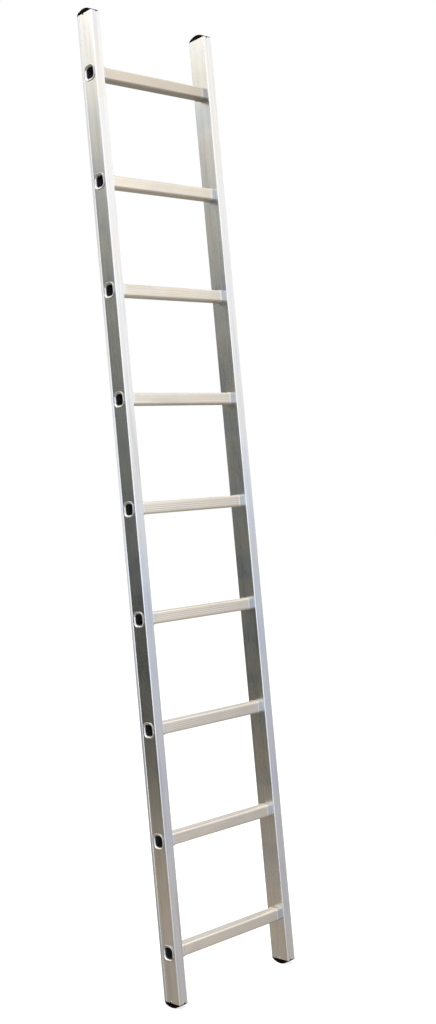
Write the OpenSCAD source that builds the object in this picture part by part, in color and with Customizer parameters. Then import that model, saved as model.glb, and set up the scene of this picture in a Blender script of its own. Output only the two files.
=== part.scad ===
// Single-section aluminium leaning ladder: two extruded side rails (stiles), nine ribbed
// square-tube rungs swaged through them, and four black plastic end plugs.
// +Z runs up the rails, +X to the right, -Y towards the climber. The origin is on the
// ground, under the middle of the ladder.

/* [Ladder] */
// Width over the flat outer webs of the two stiles
ladder_w = 420; // [360:5:520]
// Distance from one rung's centre to the next
rung_pitch = 280; // [240:5:300]
// Height of the lowest rung's centre above the stiles' cut ends
first_rung = 125; // [80:5:160]
// Length of stile above the highest rung's centre
top_overhang = 155; // [80:5:200]

/* [Stiles] */
// Width of a stile, from its flat outer web to its inner face
stile_w = 28; // [24:1:34]
// Depth of a stile, front to back
stile_d = 61; // [52:1:70]
// Wall thickness of the stile extrusion
stile_wall = 1.8; // [1.4:0.1:2.4]
// Radius of the stile's outside edges
edge_r = 3; // [1.5:0.1:4]
// Width of the raised lip along the outer rear edge
lip_w = 12.5; // [10:0.5:16]
// Height of that lip above the outer web
lip_h = 1.2; // [0.6:0.1:2]

/* [Rungs] */
// Outside size of the square rung tube
rung_s = 31; // [28:0.5:34]
// Outside radius of the rung tube's edges
rung_r = 5; // [4:0.5:7]
// Wall thickness of the rung tube
rung_wall = 1.6; // [1.2:0.1:2.2]
// Distance from the stiles' front faces to the rungs' centre line
rung_setback = 26; // [20:0.5:30]
// Distance between the fine ribs along a rung
rib_pitch = 5; // [3:0.1:6]
// Depth of the grooves between the ribs
rib_depth = 0.2; // [0.1:0.1:0.8]

/* [Rung ends] */
// Width of the flared lip over the outer web, beyond the tube's side
flare_w = 5; // [2.5:0.1:6]
// Corner radius of the flared lip's outline
flare_r = 15; // [9:0.5:17]
// Distance the flared lip stands out from the web
flare_h = 2.2; // [1.5:0.1:3]
// Length of the collar against a stile's inner face
collar_l = 7; // [4:0.5:10]
// Height of the collar above the tube's side
collar_h = 0.4; // [0.2:0.1:0.8]
// Length of the swaged bead beside the collar
bead_l = 9; // [6:0.5:12]
// Height of the bead above the tube's side
bead_h = 1.3; // [0.9:0.1:2.5]
// Length of smooth tube between the bead and the ribs
smooth_l = 1; // [0.5:0.5:8]

/* [End caps] */
// Height of a cap's arch beyond the stile's cut end
cap_rise = 12; // [8:0.5:18]
// Depth of the plug inside the stile
plug_l = 28; // [20:1:40]
// Wall thickness of the plug
plug_wall = 2.5; // [2:0.1:3.5]
// Gap between the plug and the inside of the stile
plug_gap = 0.3; // [0.2:0.05:0.5]
// Number of grip grooves across a foot
grip_count = 6; // [4:1:8]

/* [Hidden] */
$fn = 48;
rung_count = 9;

aluminium = "#c9ccce";
black_plastic = "#1d1d1f";

over = 1;                                     // how far a cutter runs past the face that it cuts
half_w = ladder_w / 2;
half_d = stile_d / 2;
stile_l = first_rung + (rung_count - 1) * rung_pitch + top_overhang;
stile_z0 = cap_rise;                          // the cut end stands this high on its foot
stile_z1 = stile_z0 + stile_l;
rung_y = rung_setback - half_d;
inner_x = half_w - stile_w;                   // inner face of the right stile
tube_half = rung_s / 2;
corner_c = tube_half - rung_r;                // from the rung's axis to its edge's centre
collar_at = smooth_l + bead_l;                // from the end of the ribs to the collar
end_l = collar_at + collar_l + stile_w;       // from the end of the ribs to the outer web
hole_gap = 0.1;                               // clearance round the tube in the stile's walls
lip_edge = 0.5;                               // bevel along the lip's front edge
lip_fall = 1.3;                               // the rear outer edge lies this far inside the web
rear_turn = 15;                               // the rear corner's rounding starts at this angle
cavity_r = 1;                                 // inside radius of the extrusion's corners
ribs_half = half_w - end_l;                   // half the ribbed length of a rung
groove_share = 0.2;                           // width of a groove, as a share of the rib pitch
bead_edge = bead_l / 4;                       // length of the bead's lower step at either side
bead_step = bead_h * 0.6;                     // height of that lower step
flare_step = flare_h * 0.6;                   // thickness of the flared lip at its outer edge
flare_in = flare_h * 0.4;                     // its outermost face is this much smaller all round
arch_r = (half_d * half_d + cap_rise * cap_rise) / (2 * cap_rise);
arch_fn = 128;                                // facets round the arch

// Punch marks that hold a plug in its stile
punch_d = 3.4;
punch_depth = 0.7;
punch_from_end = 5;
punch_tip = 1.4;

// Two small locating tabs on a cap, in notches at the stile's cut end
tab_h = 2.6;
tab_w = 4;
tab_gap = 0.2;
web_tab_y = 3;
front_tab_in = 3;

// Grip grooves across the foot
grip_w = 2;
grip_depth = 0.9;
grip_pitch = 6.5;

// Height of rung i's centre line, counted from the bottom
function rung_z(i) = stile_z0 + first_rung + (i - 1) * rung_pitch;

// Places shapes that are drawn with +X outward on either side of the ladder
module on_side(side) {
    if (side > 0) children();
    else mirror([1, 0, 0]) children();
}

// A w by h rectangle about the origin with rounded corners
module rounded_rect(w, h, r) {
    square([w - 2 * r, h], center = true);
    square([w, h - 2 * r], center = true);
    for (x = [-1, 1], y = [-1, 1])
        translate([x * (w / 2 - r), y * (h / 2 - r)]) circle(r);
}

// Points along an arc, from angle a0 to angle a1
function arc(cx, cy, r, a0, a1, steps = 8) =
    [for (i = [0:steps]) let (a = a0 + (a1 - a0) * i / steps) [cx + r * cos(a), cy + r * sin(a)]];

// Outline of the right stile: outer web at x = half_w, front face at y = -half_d. The lip
// along the outer rear edge stands out from the web and falls away towards the rear.
module stile_outline() {
    lip_x = half_w + lip_h;
    lip_y = half_d - lip_w;
    rear_x = half_w - lip_fall - edge_r;
    polygon(concat(
        arc(half_w - edge_r, edge_r - half_d, edge_r, -90, 0),
        [[half_w, lip_y], [lip_x - lip_edge, lip_y]],
        [[lip_x, lip_y + lip_edge]],
        arc(rear_x, half_d - edge_r, edge_r, rear_turn, 90),
        arc(inner_x + edge_r, half_d - edge_r, edge_r, 90, 180),
        arc(inner_x + edge_r, edge_r - half_d, edge_r, 180, 270)));
}

// Space inside the right stile
module stile_cavity(gap = 0) {
    translate([half_w - stile_w / 2, 0])
        rounded_rect(stile_w - 2 * (stile_wall + gap), stile_d - 2 * (stile_wall + gap), cavity_r);
}

// Cone-shaped punch marks in both side walls near one end; z is the cut end's height, and
// up is +1 at the bottom end or -1 at the top
module punch_marks(z, up) {
    for (face = [[inner_x, 90], [half_w, -90]])
        translate([face[0], 0, z + up * punch_from_end]) rotate([0, face[1], 0])
            translate([0, 0, -punch_depth])
                cylinder(h = 2 * punch_depth, d1 = 2 * punch_d - punch_tip, d2 = punch_tip);
}

// The two tabs at a cut end, one in the outer web and one in the front wall. With a gap and
// a distance past the faces and the end, they are the cutters of the tabs' notches.
module end_keys(z, up, gap = 0, past = 0) {
    key_h = tab_h + gap + past;
    key_w = tab_w + 2 * gap;
    z_low = up > 0 ? z - past : z - tab_h - gap;
    depth = stile_wall + over + past;
    translate([half_w + past - depth, web_tab_y - key_w / 2, z_low])
        cube([depth, key_w, key_h]);
    translate([half_w - stile_w / 2 - front_tab_in - key_w / 2, -half_d - past, z_low])
        cube([key_w, depth, key_h]);
}

// Right stile with its rung holes, notches and punch marks
module stile_body() {
    difference() {
        translate([0, 0, stile_z0]) linear_extrude(stile_l) stile_outline();
        translate([0, 0, stile_z0 - over]) linear_extrude(stile_l + 2 * over) stile_cavity();
        for (i = [1:rung_count]) rung_hole(rung_z(i));
        end_keys(stile_z0, 1, tab_gap, over);
        end_keys(stile_z1, -1, tab_gap, over);
        punch_marks(stile_z0, 1);
        punch_marks(stile_z1, -1);
    }
}

// Rounded-square hole through both side walls of the right stile
module rung_hole(z) {
    hole_s = rung_s + 2 * hole_gap;
    translate([inner_x - over, rung_y, z])
        rotate([90, 0, 90]) linear_extrude(stile_w + lip_h + 2 * over)
            rounded_rect(hole_s, hole_s, rung_r + hole_gap);
}

module stile_left() { color(aluminium) on_side(-1) stile_body(); }
module stile_right() { color(aluminium) on_side(1) stile_body(); }

// Section of the middle of a rung: a rounded square with grooves between its ribs
module ribbed_section() {
    ribs = floor(2 * corner_c / rib_pitch);
    groove_w = rib_pitch * groove_share;
    difference() {
        rounded_rect(rung_s, rung_s, rung_r);
        for (side = [0:3], k = [0:ribs])
            rotate(90 * side) translate([(k - ribs / 2) * rib_pitch, tube_half])
                polygon([[-groove_w / 2, over], [-groove_w / 2, 0], [0, -rib_depth], [groove_w / 2, 0],
                    [groove_w / 2, over]]);
        tube_bore();
    }
}

// The hole down a rung tube
module tube_bore() {
    bore_s = rung_s - 2 * rung_wall;
    rounded_rect(bore_s, bore_s, rung_r - rung_wall);
}

// A length of smooth tube, larger than the rung by grow on every side, with edges of radius r
module tube_slice(length, grow, r) {
    linear_extrude(length) difference() {
        rounded_rect(rung_s + 2 * grow, rung_s + 2 * grow, r);
        tube_bore();
    }
}

// One end of a rung, from the end of its ribs: smooth tube, the bead in three steps, the
// collar, the stretch through the stile, and the flared lip with its edge stepped back
module rung_end() {
    translate([ribs_half, 0, 0]) rotate([90, 0, 90]) {
        tube_slice(end_l + flare_h, 0, rung_r);
        translate([0, 0, smooth_l]) tube_slice(bead_l, bead_step, rung_r + bead_step);
        translate([0, 0, smooth_l + bead_edge])
            tube_slice(bead_l - 2 * bead_edge, bead_h, rung_r + bead_h);
        translate([0, 0, collar_at]) tube_slice(collar_l, collar_h, rung_r + collar_h);
        translate([0, 0, end_l]) tube_slice(flare_step, flare_w, flare_r);
        translate([0, 0, end_l]) tube_slice(flare_h, flare_w - flare_in, flare_r - flare_in);
    }
}

module rung(i) {
    color(aluminium) translate([0, rung_y, rung_z(i)]) {
        translate([-ribs_half, 0, 0]) rotate([90, 0, 90]) linear_extrude(2 * ribs_half) ribbed_section();
        for (side = [-1, 1]) on_side(side) rung_end();
    }
}

// Bottom cap of the right stile: arch below the cut end, hollow plug above it
module foot_body() {
    difference() {
        intersection() {
            linear_extrude(cap_rise) stile_outline();
            translate([inner_x - over, 0, arch_r]) rotate([0, 90, 0])
                cylinder(h = stile_w + lip_h + 2 * over, r = arch_r, $fn = arch_fn);
        }
        for (k = [1:grip_count]) grip_groove((k - (grip_count + 1) / 2) * grip_pitch);
    }
    plug();
    end_keys(stile_z0, 1);
}

// One groove across the arch, a fixed depth below its surface
module grip_groove(y) {
    angle = asin(y / arch_r);
    translate([inner_x - over, 0, arch_r]) rotate([angle, 0, 0])
        translate([0, -grip_w / 2, -arch_r - over])
            cube([stile_w + lip_h + 2 * over, grip_w, grip_depth + over]);
}

// Hollow plug inside the stile, with a cross wall
module plug() {
    difference() {
        translate([0, 0, cap_rise]) linear_extrude(plug_l) stile_cavity(plug_gap);
        translate([0, 0, cap_rise]) linear_extrude(plug_l + over) difference() {
            stile_cavity(plug_gap + plug_wall);
            translate([half_w - stile_w / 2, 0]) square([stile_w, plug_wall], center = true);
        }
    }
}

// A top cap is the same moulding turned end for end
module cap_body(bottom) {
    if (bottom) foot_body();
    else translate([0, 0, stile_z1 + stile_z0]) mirror([0, 0, 1]) foot_body();
}

module foot_left() { color(black_plastic) on_side(-1) cap_body(true); }
module foot_right() { color(black_plastic) on_side(1) cap_body(true); }
module top_cap_left() { color(black_plastic) on_side(-1) cap_body(false); }
module top_cap_right() { color(black_plastic) on_side(1) cap_body(false); }

stile_left();
stile_right();
for (i = [1:rung_count]) rung(i);
foot_left();
foot_right();
top_cap_left();
top_cap_right();
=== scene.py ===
"""Looks of an aluminium leaning ladder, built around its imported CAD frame."""

import math
import random

import bpy
from mathutils import Matrix, Vector


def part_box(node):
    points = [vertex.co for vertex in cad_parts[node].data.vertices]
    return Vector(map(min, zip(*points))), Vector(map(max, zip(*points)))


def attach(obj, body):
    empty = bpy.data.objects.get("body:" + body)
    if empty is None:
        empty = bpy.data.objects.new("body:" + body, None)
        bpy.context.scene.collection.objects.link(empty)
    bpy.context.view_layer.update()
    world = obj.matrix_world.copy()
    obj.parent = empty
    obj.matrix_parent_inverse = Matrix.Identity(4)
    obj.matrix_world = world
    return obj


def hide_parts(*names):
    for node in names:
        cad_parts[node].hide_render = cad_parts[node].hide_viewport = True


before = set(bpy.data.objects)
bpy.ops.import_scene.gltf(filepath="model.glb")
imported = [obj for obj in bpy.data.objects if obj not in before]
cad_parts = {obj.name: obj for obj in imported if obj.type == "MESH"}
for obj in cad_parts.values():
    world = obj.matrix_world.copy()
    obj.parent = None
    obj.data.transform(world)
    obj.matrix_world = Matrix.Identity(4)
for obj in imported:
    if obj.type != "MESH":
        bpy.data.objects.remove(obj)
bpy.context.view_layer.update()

MM = 0.001
scene = bpy.context.scene
random.seed(7)

# ---------------------------------------------------------------- places from the frame

RUNGS = sorted(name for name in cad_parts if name.startswith("rung_"))
STILES = ("stile_left", "stile_right")
CAPS = ("foot_left", "foot_right", "top_cap_left", "top_cap_right")

INNER_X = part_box("stile_right")[0].x         # inner face of the right stile
RUNG_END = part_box(RUNGS[0])[1].x             # outermost point of a flared rung end
FLARE_H = 2.2 * MM                           # the flared lip stands this far off the web
WEB_X = RUNG_END - FLARE_H                   # the stile's flat outer web
top_low, top_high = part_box(RUNGS[-1])
TOP_RUNG_Z = (top_low.z + top_high.z) / 2    # axis of the topmost rung

# ---------------------------------------------------------------- camera

CAMERA_AT = Vector((-2.3349, -2.5745, 1.2136))
CAMERA_AIM = Vector((-0.0947, 0.002, 1.294))
CAMERA_ROLL = math.radians(-5.137)
CAMERA_LENS = 46.28
CAMERA_SENSOR = 36
CAMERA_SHIFT = (0.0566, -0.0187)


def add_camera():
    """A view from half way up, from the left front, with the camera tipped sideways."""
    data = bpy.data.cameras.new("camera")
    data.lens = CAMERA_LENS
    data.sensor_width = CAMERA_SENSOR
    data.shift_x, data.shift_y = CAMERA_SHIFT
    camera = bpy.data.objects.new("camera", data)
    scene.collection.objects.link(camera)
    level = (CAMERA_AIM - CAMERA_AT).to_track_quat("-Z", "Y").to_matrix()
    camera.location = CAMERA_AT
    camera.rotation_euler = (level @ Matrix.Rotation(CAMERA_ROLL, 3, "Z")).to_euler()
    scene.camera = camera


# ---------------------------------------------------------------- node helpers


def new_material(name):
    """A new material, its node tree and its Principled shader."""
    material = bpy.data.materials.new(name)
    material.use_nodes = True
    tree = material.node_tree
    return material, tree, tree.nodes["Principled BSDF"]


def add(tree, kind, **settings):
    """A new node with the settings given."""
    node = tree.nodes.new(kind)
    for key, value in settings.items():
        setattr(node, key, value)
    return node


def connect(tree, socket, value):
    """Gives a socket a number, a colour or another node's output."""
    if isinstance(value, (int, float)):
        socket.default_value = value
    elif isinstance(value, tuple):
        socket.default_value = (*value, 1)
    else:
        tree.links.new(value, socket)


def noise(tree, vector, detail=2.0, rough=0.5):
    """Noise over a vector that is already scaled; returns its value output."""
    node = add(tree, "ShaderNodeTexNoise")
    node.inputs["Scale"].default_value = 1.0
    node.inputs["Detail"].default_value = detail
    node.inputs["Roughness"].default_value = rough
    tree.links.new(vector, node.inputs["Vector"])
    return node.outputs["Fac"]


def stretched(tree, scale):
    """Object coordinates multiplied by scale, which is in noise cells per metre."""
    place = add(tree, "ShaderNodeTexCoord")
    mapping = add(tree, "ShaderNodeMapping")
    mapping.inputs["Scale"].default_value = scale
    tree.links.new(place.outputs["Object"], mapping.inputs["Vector"])
    return mapping.outputs["Vector"]


def position(tree):
    """The three coordinates of a point on the ladder, in metres."""
    place = add(tree, "ShaderNodeTexCoord")
    split = add(tree, "ShaderNodeSeparateXYZ")
    tree.links.new(place.outputs["Object"], split.inputs[0])
    return split.outputs


def ramp(tree, value, stops):
    """A colour ramp; stops are (position, grey or colour)."""
    node = add(tree, "ShaderNodeValToRGB")
    elements = node.color_ramp.elements
    for index, (place, colour) in enumerate(stops):
        element = elements[index] if index < 2 else elements.new(place)
        element.position = place
        rgb = colour if isinstance(colour, tuple) else (colour, colour, colour)
        element.color = (*rgb, 1)
    tree.links.new(value, node.inputs["Fac"])
    return node.outputs["Color"]


def mixed(tree, factor, a, b, blend="MIX"):
    """Mixes two colours; each of the three may be a socket or a value."""
    node = add(tree, "ShaderNodeMix", data_type="RGBA", blend_type=blend)
    for socket, value in ((node.inputs[0], factor), (node.inputs[6], a), (node.inputs[7], b)):
        connect(tree, socket, value)
    return node.outputs[2]


def tinted(tree, colour, tint):
    """A colour multiplied by another; the second may be a plain value."""
    return mixed(tree, 1.0, colour, tint, "MULTIPLY")


def maths(tree, operation, *values):
    """A maths node over sockets or numbers."""
    node = add(tree, "ShaderNodeMath", operation=operation)
    for socket, value in zip(node.inputs, values):
        connect(tree, socket, value)
    return node.outputs[0]


def smooth_step(tree, value, low, high):
    """0 up to low, 1 from high, with a soft rise between them; low may be the larger."""
    node = add(tree, "ShaderNodeMapRange", interpolation_type="SMOOTHSTEP")
    node.inputs["From Min"].default_value = low
    node.inputs["From Max"].default_value = high
    tree.links.new(value, node.inputs["Value"])
    return node.outputs["Result"]


def bumped(tree, height, strength, distance):
    """A normal bumped by a height."""
    node = add(tree, "ShaderNodeBump")
    node.inputs["Strength"].default_value = strength
    node.inputs["Distance"].default_value = distance
    tree.links.new(height, node.inputs["Height"])
    return node.outputs["Normal"]


# ---------------------------------------------------------------- rung sizes

RUNG_S = 31 * MM                             # outside size of the tube
EDGE_R = 5 * MM                              # outside radius of its edges
EDGE_STEPS = 8                               # facets round one edge
WALL = 1.6 * MM
CORNER = RUNG_S / 2 - EDGE_R                 # from the axis to an edge's centre
RIB_PITCH = 5 * MM
RIB_DEPTH = 0.09 * MM
RIB_PROFILE = ((-0.5, 0.0), (-0.25, 0.7), (0.0, 1.0), (0.25, 0.7), (0.5, 0.0))  # (mm across, depth)
RIBS_HALF = INNER_X - 17 * MM                # half of the ribbed length
RIBS_FADE = 3 * MM                           # the ribs die away over this length
BEAD_L = 16 * MM                             # length of the bead and the collar together
BEAD_H = 1.3 * MM                            # height of the bead over the tube
BEAD_PROFILE = ((0.0, 0.0), (0.02, 0.06), (0.05, 0.28), (0.09, 0.62), (0.13, 0.86), (0.18, 0.98),
                (0.23, 1.0), (0.32, 1.0), (0.38, 0.93), (0.44, 0.74), (0.49, 0.52), (0.54, 0.38),
                (0.60, 0.33), (0.90, 0.33), (0.95, 0.22), (1.0, 0.0))
COLLAR_AT = INNER_X - 12 * MM                # the bead turns into the collar from here
COLLAR_FULL = INNER_X - 8 * MM               # to here
FLARE_W = 5 * MM                             # the flared lip is this much wider than the tube
FLARE_R = 15 * MM                            # corner radius of its outline
LIP_GAP = 0.45 * MM                          # its rolled edge doesn't quite touch the web
LIP_STEPS = 8                                # facets round its roll, and round the mouth
LIP_START = 200                              # degrees, where its roll starts
MOUTH_R = 5.5 * MM                           # radius of the funnel inside it
BORE_R = 8 * MM                              # corner radius of the bore at the mouth
# Painted shade: the near-black bore material starts here, inside the mouth
BORE_DARK_AT = 3 * MM                        # the bore is dull from this far inside the mouth
BORE_DEPTH = 14 * MM                         # its corners have the tube's radius from here in

# ---------------------------------------------------------------- metal and plastic

# The marks on the metal, in noise cells per metre (along the grain, across it)
DIE_LINES = (1.3, 700.0)
BANDS = (0.4, 110.0)
CLOUDS = (9.0, 16.0)
STREAKS = (3.0, 60.0)
SPECKS = (150.0, 420.0)
LINE_STOPS = ((0.3, 0.9), (0.62, 1.0))
STREAK_STOPS = ((0.30, (0.90, 0.89, 0.87)), (0.48, (1.0, 1.0, 1.0)))
SPECK_STOPS = ((0.22, 0.7), (0.28, 1.0))
CLOUD_PLACES = (0.36, 0.5, 0.64)             # cold stain, clean metal, warm stain
CLEAN = (1.0, 1.0, 1.0)
ROUGH_BY_LINES, ROUGH_BY_CLOUDS, ROUGH_DROP = 0.10, 0.12, 0.11
BAND_HEIGHT = 0.6                            # height of the bands beside that of the lines
LINE_BUMP = (0.12, 0.12 * MM)                # strength, distance

STILE_LIGHT, STILE_DARK = (0.925, 0.925, 0.92), (0.86, 0.86, 0.86)
STILE_ROUGH = 0.24
STILE_STAINS = ((0.955, 0.97, 1.0), (1.0, 0.98, 0.95))
HAZE = (4.0, 4.0, 15.0)                      # noise cells per metre
HAZE_STAINS = ((0.88, 0.92, 0.98), (0.99, 0.965, 0.94))
HAZE_ROUGH = 0.04
INNER_SKIN = (1.2 * MM, 0.4 * MM)            # within this of the inner face, a point is on it

RUNG_LIGHT, RUNG_DARK = (1.0, 0.93, 0.815), (0.92, 0.855, 0.745)
RUNG_ROUGH = 0.35
RUNG_STAINS = ((0.96, 0.95, 0.95), (1.0, 0.98, 0.95))
# Painted shade: out from the end of the ribs, the beads take this dimmer flat tone
BEAD_SHADE_TINT = (0.84, 0.81, 0.77)
BEAD_SHADE_BLEND = 1.5 * MM
# Painted shade on the collars: warm at the left end, cooler and darker at the right
COLLAR_SHADE_STOPS = ((0.2, (0.83, 0.805, 0.76)), (0.8, (0.67, 0.69, 0.705)))  # along the rung
# Painted shade: each rung darkens from its left end to its right
RUNG_SHADE_STOPS = ((0.0, 1.0), (1.0, 0.83))       # brightness along the rung
# Painted shade: the topmost rung is darker, fading in below its axis
TOP_RUNG_SHADE_TINT = (0.80, 0.78, 0.76)
TOP_RUNG_SHADE_FROM = (80 * MM, 40 * MM)           # below its axis
# Painted shade: the flared lips are dimmed to this flat grey
LIP_SHADE_TINT = (0.74, 0.735, 0.73)
LIP_SHADE_BLEND = 2 * MM

# The bore: dull oxide, painted near-black as the shade deep inside the tube
BORE_NOISE = (20.0, 160.0, 160.0)            # noise cells per metre
BORE_STOPS = ((0.3, (0.05, 0.055, 0.065)), (0.7, (0.12, 0.125, 0.14)))
BORE_ROUGH, BORE_ROUGH_SPREAD = 0.45, 0.2
BORE_METALLIC = 0.8

GRAIN_SCALE = 1500.0                         # noise cells per metre
DUST_SCALE = 70.0
DUST_STOPS = ((0.5, 0.0), (0.8, 0.45))
PLASTIC_TONE, DUST_TONE = (0.002, 0.0012, 0.001), (0.012, 0.007, 0.006)
PLASTIC_ROUGH, PLASTIC_ROUGH_SPREAD = 0.42, 0.25
PLASTIC_SPECULAR = 0.03
GRAIN_BUMP = (0.35, 0.15 * MM)               # strength, distance


def stains(pair):
    """Ramp stops from the first stain, over clean metal, to the second."""
    return tuple(zip(CLOUD_PLACES, (pair[0], CLEAN, pair[1])))


def extruded_aluminium(name, grain, light, dark, roughness, stain_pair):
    """Mill-finish aluminium with die lines along one axis: grain is 'x' or 'z'. stain_pair is
    the two tints of its cloudy patches. Returns the parts that a finish completes."""
    material, tree, shader = new_material(name)

    def marks(scale, detail, rough=0.5):
        along, across = scale
        axes = (along, across, across) if grain == "x" else (across, across, along)
        return noise(tree, stretched(tree, axes), detail, rough)

    lines = marks(DIE_LINES, 3.0, 0.6)
    bands = marks(BANDS, 2.0)
    clouds = marks(CLOUDS, 3.0)
    streaks = marks(STREAKS, 3.0, 0.6)
    specks = marks(SPECKS, 2.0)

    tone = mixed(tree, bands, dark, light)
    tone = tinted(tree, tone, ramp(tree, lines, LINE_STOPS))
    tone = tinted(tree, tone, ramp(tree, clouds, stains(stain_pair)))
    tone = tinted(tree, tone, ramp(tree, streaks, STREAK_STOPS))
    tone = tinted(tree, tone, ramp(tree, specks, SPECK_STOPS))

    rough = maths(tree, "MULTIPLY_ADD", lines, ROUGH_BY_LINES, roughness - ROUGH_DROP)
    rough = maths(tree, "MULTIPLY_ADD", clouds, ROUGH_BY_CLOUDS, rough)
    tree.links.new(rough, shader.inputs["Roughness"])
    shader.inputs["Metallic"].default_value = 1.0

    height = maths(tree, "MULTIPLY_ADD", bands, BAND_HEIGHT, lines)
    tree.links.new(bumped(tree, height, *LINE_BUMP), shader.inputs["Normal"])
    return material, tree, shader, tone, rough


def stile_finish():
    """Stile metal, with hazy grey and buff patches on the inner faces between the rungs."""
    material, tree, shader, tone, rough = extruded_aluminium(
        "stile_aluminium_finish", "z", STILE_LIGHT, STILE_DARK, STILE_ROUGH, STILE_STAINS)
    haze = noise(tree, stretched(tree, HAZE), 1.5, 0.4)
    hazy = tinted(tree, tone, ramp(tree, haze, stains(HAZE_STAINS)))
    out = maths(tree, "ABSOLUTE", position(tree)[0])
    inner = smooth_step(tree, out, INNER_X + INNER_SKIN[0], INNER_X + INNER_SKIN[1])
    tree.links.new(mixed(tree, inner, tone, hazy), shader.inputs["Base Color"])
    rough = maths(tree, "MULTIPLY_ADD", inner, HAZE_ROUGH, rough)
    tree.links.new(rough, shader.inputs["Roughness"])
    return material


def rung_finish_and_shade():
    """Warm-toned tube with smooth beads and flared ends, with painted shade that dims the beads,
    the collars (cooler at the right), the flared lips and the topmost rung, and darkens it to the
    right.
    """
    material, tree, shader, tone, _ = extruded_aluminium(
        "rung_aluminium_and_shade", "x", RUNG_LIGHT, RUNG_DARK, RUNG_ROUGH, RUNG_STAINS)
    across, _, height = position(tree)
    out = maths(tree, "ABSOLUTE", across)
    along = maths(tree, "MULTIPLY_ADD", across, 0.5 / INNER_X, 0.5)
    # Painted shade over the beads
    bead_shade_mask = smooth_step(tree, out, RIBS_HALF, RIBS_HALF + BEAD_SHADE_BLEND)
    tone = mixed(tree, bead_shade_mask, tone, BEAD_SHADE_TINT)
    # Painted shade over the collars
    collar_shade_mask = smooth_step(tree, out, COLLAR_AT, COLLAR_FULL)
    tone = mixed(tree, collar_shade_mask, tone, ramp(tree, along, COLLAR_SHADE_STOPS))
    # Painted shade, darker towards the right
    tone = tinted(tree, tone, ramp(tree, along, RUNG_SHADE_STOPS))
    # Painted shade on the topmost rung
    top = smooth_step(tree, height, TOP_RUNG_Z - TOP_RUNG_SHADE_FROM[0], TOP_RUNG_Z - TOP_RUNG_SHADE_FROM[1])
    tone = mixed(tree, top, tone, tinted(tree, tone, TOP_RUNG_SHADE_TINT))
    # Painted shade over the flared lips
    flared = smooth_step(tree, out, WEB_X - LIP_SHADE_BLEND, WEB_X)
    tone = mixed(tree, flared, tone, LIP_SHADE_TINT)
    tree.links.new(tone, shader.inputs["Base Color"])
    return material


def bore_oxide_and_shade():
    """The inside of a rung tube: dull oxide, painted near-black as the shade deep inside it."""
    material, tree, shader = new_material("rung_bore_oxide_and_shade")
    dull = noise(tree, stretched(tree, BORE_NOISE), 4.0, 0.6)
    tree.links.new(ramp(tree, dull, BORE_STOPS), shader.inputs["Base Color"])
    rough = maths(tree, "MULTIPLY_ADD", dull, BORE_ROUGH_SPREAD, BORE_ROUGH)
    tree.links.new(rough, shader.inputs["Roughness"])
    shader.inputs["Metallic"].default_value = BORE_METALLIC
    return material


def moulded_plastic():
    """Black moulded plastic with a fine spark texture and a little brown dust."""
    material, tree, shader = new_material("cap_black_plastic")
    grain = noise(tree, stretched(tree, (GRAIN_SCALE,) * 3), 2.0, 0.6)
    dust = noise(tree, stretched(tree, (DUST_SCALE,) * 3), 5.0, 0.6)
    tone = mixed(tree, ramp(tree, dust, DUST_STOPS), PLASTIC_TONE, DUST_TONE)
    tree.links.new(tone, shader.inputs["Base Color"])
    rough = maths(tree, "MULTIPLY_ADD", dust, PLASTIC_ROUGH_SPREAD, PLASTIC_ROUGH)
    tree.links.new(rough, shader.inputs["Roughness"])
    shader.inputs["Specular IOR Level"].default_value = PLASTIC_SPECULAR
    tree.links.new(bumped(tree, grain, *GRAIN_BUMP), shader.inputs["Normal"])
    return material


# ---------------------------------------------------------------- rungs


def rung_section():
    """Points round the tube as (edge centre, direction out, groove depth from 0 to 1)."""
    points = []
    grooves = int(2 * CORNER / RIB_PITCH)
    for side in range(4):
        turn = side * math.pi / 2
        out = Vector((math.cos(turn), math.sin(turn)))
        along = Vector((-out.y, out.x))
        flat = [(-CORNER, 0.0)]
        for groove in range(grooves + 1):
            middle = (groove - grooves / 2) * RIB_PITCH
            flat += [(middle + step * MM, depth) for step, depth in RIB_PROFILE]
        flat = [(place, depth) for place, depth in flat if abs(place) <= CORNER]
        flat.append((CORNER, 0.0))
        for place, depth in flat:
            points.append((out * CORNER + along * place, out, depth))
        centre = (out + along) * CORNER
        for step in range(1, EDGE_STEPS):
            angle = turn + step * math.pi / (2 * EDGE_STEPS)
            points.append((centre, Vector((math.cos(angle), math.sin(angle))), 0.0))
    return points


def curve_stations(x, grow, radius, start, end):
    """Points (x, growth) round a curve in the lengthwise section, with angles in degrees."""
    turn = (end - start) / LIP_STEPS
    angles = [math.radians(start + turn * i) for i in range(LIP_STEPS + 1)]
    return [(x + radius * math.cos(a), grow + radius * math.sin(a)) for a in angles]


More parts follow.
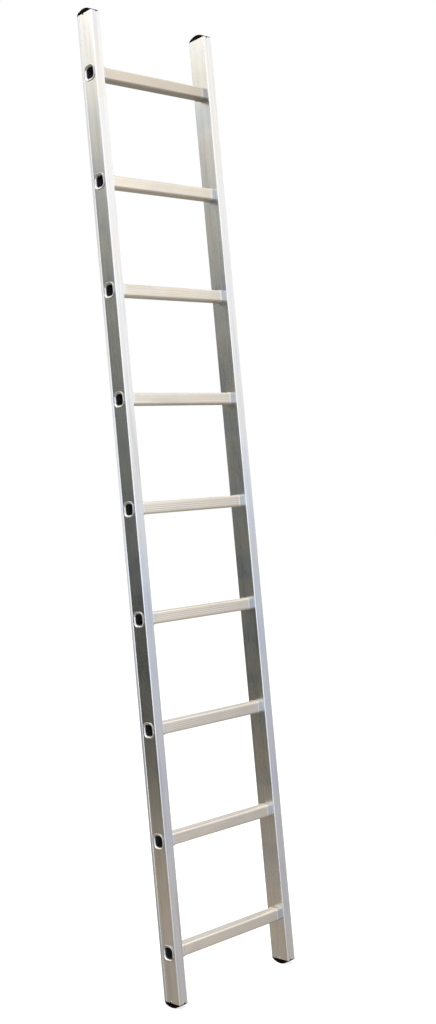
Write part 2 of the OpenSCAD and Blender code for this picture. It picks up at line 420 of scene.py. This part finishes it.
def rung_stations(lip):
    """Half of the rung's lengthwise section, from its middle out and back through the bore, as
    (distance from the middle, growth over the tube, edge radius, rib strength, in the bore).
    lip scales the flare."""
    stations = [(0.0, 0.0, EDGE_R, 1.0, False)]
    for x, rib in ((-RIBS_FADE, 1.0), (-RIBS_FADE / 2, 0.7), (0.0, 0.15), (RIBS_FADE / 2, 0.0)):
        stations.append((RIBS_HALF + x, 0.0, EDGE_R, rib, False))
    for along, share in BEAD_PROFILE:
        rise = BEAD_H * share
        stations.append((INNER_X - BEAD_L * (1 - along), rise, EDGE_R + rise, 0.0, False))
    stations.append((WEB_X + LIP_GAP, 0.0, EDGE_R, 0.0, False))
    lip_w, lip_h = FLARE_W * lip, FLARE_H * lip
    roll = (lip_h - LIP_GAP) / 2
    crown = WEB_X + lip_h
    rim = curve_stations(crown - roll, lip_w - roll, roll, LIP_START, 0)
    rim += curve_stations(crown - MOUTH_R, MOUTH_R - WALL, MOUTH_R, 0, -90)
    for x, grow in rim:
        share = max(0.0, min(1.0, (grow + WALL) / (lip_w + WALL)))
        stations.append((x, grow, BORE_R + (FLARE_R - BORE_R) * share, 0.0, False))
    stations.append((crown - MOUTH_R - BORE_DARK_AT, -WALL, BORE_R, 0.0, True))
    stations.append((WEB_X - BORE_DEPTH, -WALL, EDGE_R - WALL, 0.0, True))
    stations.append((RIBS_HALF, -WALL, EDGE_R - WALL, 0.0, True))
    return stations


SHARP_ANGLE = math.radians(40)


def build_rung(name, material, bore):
    """A ribbed tube with swaged beads and flared ends, in one closed mesh."""
    low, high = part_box(name)
    centre = (low + high) / 2
    section = rung_section()
    half = rung_stations(random.uniform(0.95, 1.0))
    other = rung_stations(random.uniform(0.95, 1.0))
    rings = half + [(-x, *rest) for x, *rest in reversed(other[1:])]
    vertices = []
    for x, grow, radius, rib, _ in rings:
        edge_at = RUNG_S / 2 + grow - radius
        for base, out, depth in section:
            reach = radius - depth * rib * RIB_DEPTH
            spot = base * (edge_at / CORNER) + out * reach
            vertices.append((centre.x + x, centre.y + spot.x, centre.z + spot.y))
    count = len(section)
    faces, slots = [], []
    for ring in range(len(rings)):
        after = (ring + 1) % len(rings)
        inside = rings[ring][4] and rings[after][4]
        for k in range(count):
            nxt = (k + 1) % count
            faces.append((ring * count + k, after * count + k,
                          after * count + nxt, ring * count + nxt))
            slots.append(1 if inside else 0)
    mesh = bpy.data.meshes.new(name + "_tube")
    mesh.from_pydata(vertices, [], faces)
    mesh.materials.append(material)
    mesh.materials.append(bore)
    mesh.polygons.foreach_set("material_index", slots)
    mesh.shade_smooth()
    mesh.set_sharp_from_angle(angle=SHARP_ANGLE)
    piece = bpy.data.objects.new(name + "_tube", mesh)
    scene.collection.objects.link(piece)
    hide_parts(name)
    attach(piece, "root")


# ---------------------------------------------------------------- stage and light

FLOOR_RADIUS = 40
FLOOR_TONE = (0.3, 0.3, 0.3)
FLOOR_GLOW = 0.75
FLOOR_ROUGH = 0.9

LIGHT_AT = (-0.6, -0.8, 4.6)
LIGHT_SIZE = 4
LIGHT_POWER = 260


def add_floor():
    """A plain pale floor that the metal doesn't mirror."""
    bpy.ops.mesh.primitive_circle_add(vertices=96, radius=FLOOR_RADIUS, fill_type="NGON")
    floor = bpy.context.object
    floor.name = "floor"
    material, _, shader = new_material("pale_floor")
    shader.inputs["Base Color"].default_value = (*FLOOR_TONE, 1)
    shader.inputs["Emission Color"].default_value = (1, 1, 1, 1)
    shader.inputs["Emission Strength"].default_value = FLOOR_GLOW
    shader.inputs["Roughness"].default_value = FLOOR_ROUGH
    shader.inputs["Specular IOR Level"].default_value = 0.0
    floor.data.materials.append(material)
    floor.visible_glossy = False


def add_overhead_light():
    """A soft square light over the ladder, aimed at its foot."""
    data = bpy.data.lights.new("overhead", "AREA")
    data.shape = "RECTANGLE"
    data.size = data.size_y = LIGHT_SIZE
    data.energy = LIGHT_POWER
    light = bpy.data.objects.new("overhead", data)
    light.location = LIGHT_AT
    light.rotation_euler = (-Vector(LIGHT_AT)).to_track_quat("-Z", "Y").to_euler()
    light.visible_camera = False
    light.visible_glossy = False
    scene.collection.objects.link(light)


# Colour of the studio by the sine of the elevation, for each direction round the ladder
LEFT_STOPS = (
    (-0.40, (0.40, 0.35, 0.295)), (-0.31, (0.50, 0.43, 0.365)), (-0.25, (0.74, 0.635, 0.50)),
    (-0.215, (0.18, 0.16, 0.12)), (-0.175, (0.012, 0.018, 0.015)), (-0.09, (0.012, 0.020, 0.018)),
    (0.0, (0.137, 0.145, 0.132)), (0.10, (0.133, 0.144, 0.13)), (0.17, (0.186, 0.195, 0.176)),
    (0.24, (0.28, 0.29, 0.27)), (0.28, (0.42, 0.42, 0.40)), (0.32, (1.27, 1.23, 1.12)),
    (0.40, (2.1, 2.02, 1.86)))
FRONT_STOPS = (
    (-0.60, (0.50, 0.47, 0.445)), (-0.30, (0.60, 0.565, 0.55)), (-0.20, (0.65, 0.65, 0.70)),
    (-0.10, (0.59, 0.66, 0.80)), (-0.03, (0.67, 0.73, 0.84)), (0.05, (1.17, 1.18, 1.20)),
    (0.30, (1.32, 1.30, 1.28)))
BACK_STOPS = (
    (-0.60, (0.30, 0.28, 0.25)), (-0.25, (0.38, 0.35, 0.31)), (-0.12, (0.36, 0.355, 0.36)),
    (-0.04, (0.90, 0.92, 0.97)), (0.12, (0.92, 0.92, 0.94)), (0.20, (0.83, 0.82, 0.82)),
    (0.28, (0.78, 0.77, 0.76)), (0.34, (1.0, 0.98, 0.96)), (0.45, (1.10, 1.08, 1.06)))
FAR_STOPS = (
    (-0.60, (0.33, 0.32, 0.29)), (-0.15, (0.32, 0.31, 0.29)), (-0.03, (0.32, 0.32, 0.31)),
    (0.06, (0.98, 0.97, 0.98)), (0.20, (1.10, 1.08, 1.08)), (0.25, (1.0, 1.0, 1.0)),
    (0.30, (0.62, 0.65, 0.70)), (0.8, (0.62, 0.65, 0.70)))
NEAR_STOPS = (
    (-0.60, (0.40, 0.40, 0.40)), (-0.29, (0.50, 0.52, 0.56)), (-0.23, (1.0, 1.05, 1.14)),
    (-0.15, (1.45, 1.56, 1.75)), (0.0, (1.35, 1.44, 1.58)), (0.30, (1.15, 1.18, 1.22)),
    (0.8, (1.2, 1.2, 1.2)))
BRIGHTEST = 2.2                              # a ramp holds 0 to 1, so tones are divided by this

# Brightness of the left and the front by how far east a level direction points, from -1 to 1
LEFT_ACROSS = ((-0.85, 1.0), (-0.68, 1.0), (-0.65, 0.85), (-0.63, 0.676), (-0.60, 0.62),
               (-0.45, 0.585))
FRONT_ACROSS = ((0.40, 1.0), (0.60, 0.89), (0.74, 0.73), (0.82, 0.78), (0.92, 1.0))

# Where one part of the studio turns into the next, by how far east or north
FAR_FROM = (-0.1, 0.35)
FRONT_FROM = (0.30, -0.15)
LEFT_FROM = (-0.36, -0.52)
NEAR_FROM_EAST = (0.0, -0.4)
NEAR_FROM_NORTH = (-0.1, -0.5)
LEAST_FLAT = 0.02                            # keeps straight up and down from dividing by 0


def halved(stops):
    """Stops over -1 to 1 moved to the 0 to 1 of a ramp."""
    return [(place * 0.5 + 0.5, value) for place, value in stops]


def add_world():
    """A pale studio: white to the eye, with a darker side at the left that the webs mirror."""
    world = bpy.data.worlds.new("studio")
    world.use_nodes = True
    scene.world = world
    tree = world.node_tree
    tree.nodes.clear()
    place = add(tree, "ShaderNodeTexCoord")
    split = add(tree, "ShaderNodeSeparateXYZ")
    tree.links.new(place.outputs["Generated"], split.inputs[0])
    x, y, z = split.outputs
    flat = maths(tree, "ADD", maths(tree, "MULTIPLY", x, x), maths(tree, "MULTIPLY", y, y))
    flat = maths(tree, "MAXIMUM", maths(tree, "SQRT", flat), LEAST_FLAT)
    east = maths(tree, "DIVIDE", x, flat)
    north = maths(tree, "DIVIDE", y, flat)
    height = maths(tree, "MULTIPLY_ADD", z, 0.5, 0.5)
    shift = maths(tree, "MULTIPLY_ADD", east, 0.5, 0.5)

    def by_height(stops):
        dimmed = [(sine, tuple(c / BRIGHTEST for c in colour)) for sine, colour in stops]
        return ramp(tree, height, halved(dimmed))

    left = tinted(tree, by_height(LEFT_STOPS), ramp(tree, shift, halved(LEFT_ACROSS)))
    front = tinted(tree, by_height(FRONT_STOPS), ramp(tree, shift, halved(FRONT_ACROSS)))
    around = mixed(tree, smooth_step(tree, east, *FAR_FROM),
                   by_height(BACK_STOPS), by_height(FAR_STOPS))
    around = mixed(tree, smooth_step(tree, north, *FRONT_FROM), around, front)
    around = mixed(tree, smooth_step(tree, east, *LEFT_FROM), around, left)
    behind = maths(tree, "MULTIPLY", smooth_step(tree, east, *NEAR_FROM_EAST),
                   smooth_step(tree, north, *NEAR_FROM_NORTH))
    around = mixed(tree, behind, around, by_height(NEAR_STOPS))

    seen = add(tree, "ShaderNodeBackground")
    lit = add(tree, "ShaderNodeBackground")
    seen.inputs["Color"].default_value = (1, 1, 1, 1)
    lit.inputs["Strength"].default_value = BRIGHTEST
    tree.links.new(around, lit.inputs["Color"])
    path = add(tree, "ShaderNodeLightPath")
    choose = add(tree, "ShaderNodeMixShader")
    tree.links.new(path.outputs["Is Camera Ray"], choose.inputs["Fac"])
    tree.links.new(lit.outputs[0], choose.inputs[1])
    tree.links.new(seen.outputs[0], choose.inputs[2])
    out = add(tree, "ShaderNodeOutputWorld")
    tree.links.new(choose.outputs[0], out.inputs["Surface"])


# ---------------------------------------------------------------- build

add_camera()
add_world()
add_floor()
add_overhead_light()

for names, material in ((STILES, stile_finish()), (CAPS, moulded_plastic())):
    for name in names:
        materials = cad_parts[name].data.materials
        materials.clear()
        materials.append(material)
rung_metal, rung_bore = rung_finish_and_shade(), bore_oxide_and_shade()
for name in RUNGS:
    build_rung(name, rung_metal, rung_bore)

scene.view_settings.view_transform = "Standard"
